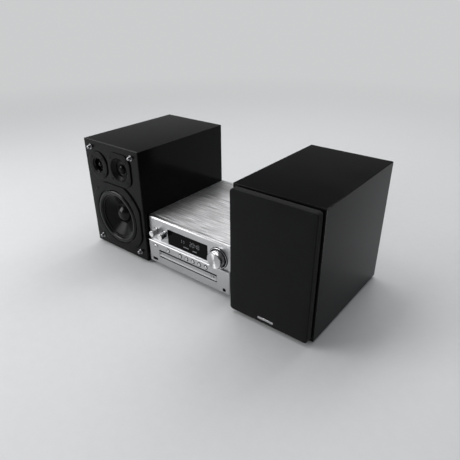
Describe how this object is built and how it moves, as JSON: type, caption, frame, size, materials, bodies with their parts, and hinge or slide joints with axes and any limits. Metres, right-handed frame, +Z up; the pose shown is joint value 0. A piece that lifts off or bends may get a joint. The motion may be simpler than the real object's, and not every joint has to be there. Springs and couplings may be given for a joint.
{
  "type": "mini hifi system",
  "caption": "Mini hifi system: main unit with disc tray, display and knobs between two three-way speakers, one with its cloth grille on and one bare",
  "frame": {"origin": "on the floor, under the middle of the whole set's bounding box", "axes": "+X to the right seen from the front, +Y to the back, +Z up"},
  "size_m": [0.5508, 0.2752, 0.238],
  "materials": {
    "brushed_aluminium": "brushed",
    "silver_front": "satin",
    "bright_ring": "polished",
    "plain_steel": "plain",
    "cabinet_black": "satin black covering",
    "baffle_black": "black, finely brushed",
    "driver_metal": "charcoal satin",
    "driver_plastic": "charcoal satin",
    "cone_black": "satin",
    "dome_black": "gloss",
    "rubber_black": "satin",
    "cloth_black": "woven",
    "black_plastic": "satin",
    "grey_plastic": "matt",
    "window_black": "gloss, smoked",
    "board": "satin",
    "winding": "varnished"
  },
  "bodies": {
    "hifi_set": {"audio_jacks": "black_plastic", "baffle_left": "baffle_black", "baffle_right": "baffle_black", "bottom_chassis": "plain_steel", "cabinet_left": "cabinet_black", "cabinet_right": "cabinet_black", "disc_clamp": "grey_plastic", "display_module": "window_black", "display_window": "window_black", "foot_front_left": "rubber_black", "foot_front_right": "rubber_black", "foot_rear_left": "rubber_black", "foot_rear_right": "rubber_black", "front_board": "board", "front_panel": "silver_front", "headphone_jack": "black_plastic", "heat_sink": "brushed_aluminium", "loader_frame": "grey_plastic", "main_board": "board", "mains_inlet": "black_plastic", "power_transformer": "winding", "rear_panel": "plain_steel", "side_panel_left": "silver_front", "side_panel_right": "silver_front", "speaker_terminals": "black_plastic", "super_tweeter_left": "driver_plastic", "super_tweeter_right": "driver_plastic", "terminal_cup_left": "black_plastic", "terminal_cup_right": "black_plastic", "top_panel": "brushed_aluminium", "tweeter_dome_left": "dome_black", "tweeter_dome_right": "dome_black", "tweeter_horn_left": "driver_plastic", "tweeter_horn_right": "driver_plastic", "usb_socket": "plain_steel", "volume_ring": "bright_ring", "woofer_basket_left": "driver_metal", "woofer_basket_right": "driver_metal", "woofer_surround_left": "rubber_black", "woofer_surround_right": "rubber_black"},
    "volume_knob": {"volume_knob": "brushed_aluminium"},
    "bass_knob": {"bass_knob": "brushed_aluminium"},
    "treble_knob": {"treble_knob": "brushed_aluminium"},
    "tray": {"disc_tray": "grey_plastic", "tray_front": "silver_front"},
    "tray_gear": {"tray_gear": "grey_plastic"},
    "turntable": {"turntable": "rubber_black"},
    "pickup_sled": {"pickup_sled": "black_plastic"},
    "woofer_cone_left": {"woofer_cone_left": "cone_black"},
    "woofer_cone_right": {"woofer_cone_right": "cone_black"},
    "grille_right": {"grille_frame_right": "black_plastic", "grille_cloth_right": "cloth_black"},
    "memory_button": {"memory_button": "silver_front"},
    "open_close_button": {"open_close_button": "silver_front"},
    "play_button": {"play_button": "silver_front"},
    "power_button": {"power_button": "silver_front"},
    "skip_back_button": {"skip_back_button": "silver_front"},
    "skip_forward_button": {"skip_forward_button": "silver_front"},
    "source_button": {"source_button": "silver_front"},
    "stop_button": {"stop_button": "silver_front"}
  },
  "joints": [
    {"name": "volume_turn", "type": "hinge", "parent": "hifi_set", "child": "volume_knob", "pos_m": [0.0684, -0.1074, 0.0763], "axis": [0, 1, 0], "continuous": true},
    {"name": "bass_turn", "type": "hinge", "parent": "hifi_set", "child": "bass_knob", "pos_m": [-0.0906, -0.1074, 0.0785], "axis": [0, 1, 0], "range_deg": [-140, 140]},
    {"name": "treble_turn", "type": "hinge", "parent": "hifi_set", "child": "treble_knob", "pos_m": [-0.0676, -0.1074, 0.0785], "axis": [0, 1, 0], "range_deg": [-140, 140]},
    {"name": "memory_press", "type": "slide", "parent": "hifi_set", "child": "memory_button", "axis": [0, 1, 0], "range_m": [0, 0.001], "stiffness_N_per_m": 300},
    {"name": "open_close_press", "type": "slide", "parent": "hifi_set", "child": "open_close_button", "axis": [0, 1, 0], "range_m": [0, 0.001], "stiffness_N_per_m": 300},
    {"name": "play_press", "type": "slide", "parent": "hifi_set", "child": "play_button", "axis": [0, 1, 0], "range_m": [0, 0.001], "stiffness_N_per_m": 300},
    {"name": "power_press", "type": "slide", "parent": "hifi_set", "child": "power_button", "axis": [0, 1, 0], "range_m": [0, 0.001], "stiffness_N_per_m": 300},
    {"name": "skip_back_press", "type": "slide", "parent": "hifi_set", "child": "skip_back_button", "axis": [0, 1, 0], "range_m": [0, 0.001], "stiffness_N_per_m": 300},
    {"name": "skip_forward_press", "type": "slide", "parent": "hifi_set", "child": "skip_forward_button", "axis": [0, 1, 0], "range_m": [0, 0.001], "stiffness_N_per_m": 300},
    {"name": "source_press", "type": "slide", "parent": "hifi_set", "child": "source_button", "axis": [0, 1, 0], "range_m": [0, 0.001], "stiffness_N_per_m": 300},
    {"name": "stop_press", "type": "slide", "parent": "hifi_set", "child": "stop_button", "axis": [0, 1, 0], "range_m": [0, 0.001], "stiffness_N_per_m": 300},
    {"name": "tray_slide", "type": "slide", "parent": "hifi_set", "child": "tray", "axis": [0, -1, 0], "range_m": [0, 0.13]},
    {"name": "tray_gear_turn", "type": "hinge", "parent": "hifi_set", "child": "tray_gear", "pos_m": [0.03205, -0.0854, 0.0293], "axis": [0, 0, -1], "range_deg": [0, 829]},
    {"name": "turntable_spin", "type": "hinge", "parent": "hifi_set", "child": "turntable", "pos_m": [-0.01445, -0.0407, 0.0327], "axis": [0, 0, 1], "continuous": true},
    {"name": "pickup_slide", "type": "slide", "parent": "hifi_set", "child": "pickup_sled", "axis": [0, 1, 0], "range_m": [0, 0.033]},
    {"name": "woofer_left_stroke", "type": "slide", "parent": "hifi_set", "child": "woofer_cone_left", "axis": [0, -1, 0], "range_m": [-0.004, 0.004], "stiffness_N_per_m": 2000, "deforming": ["woofer_surround_left"]},
    {"name": "woofer_right_stroke", "type": "slide", "parent": "hifi_set", "child": "woofer_cone_right", "axis": [0, -1, 0], "range_m": [-0.004, 0.004], "stiffness_N_per_m": 2000, "deforming": ["woofer_surround_right"]},
    {"name": "grille_right_pull", "type": "slide", "parent": "hifi_set", "child": "grille_right", "axis": [0, -1, 0], "range_m": [0, 0.04]}
  ],
  "couplings": [
    {"joint": "tray_gear_turn", "follows": "tray_slide", "rad_per_m": 111.11}
  ]
}
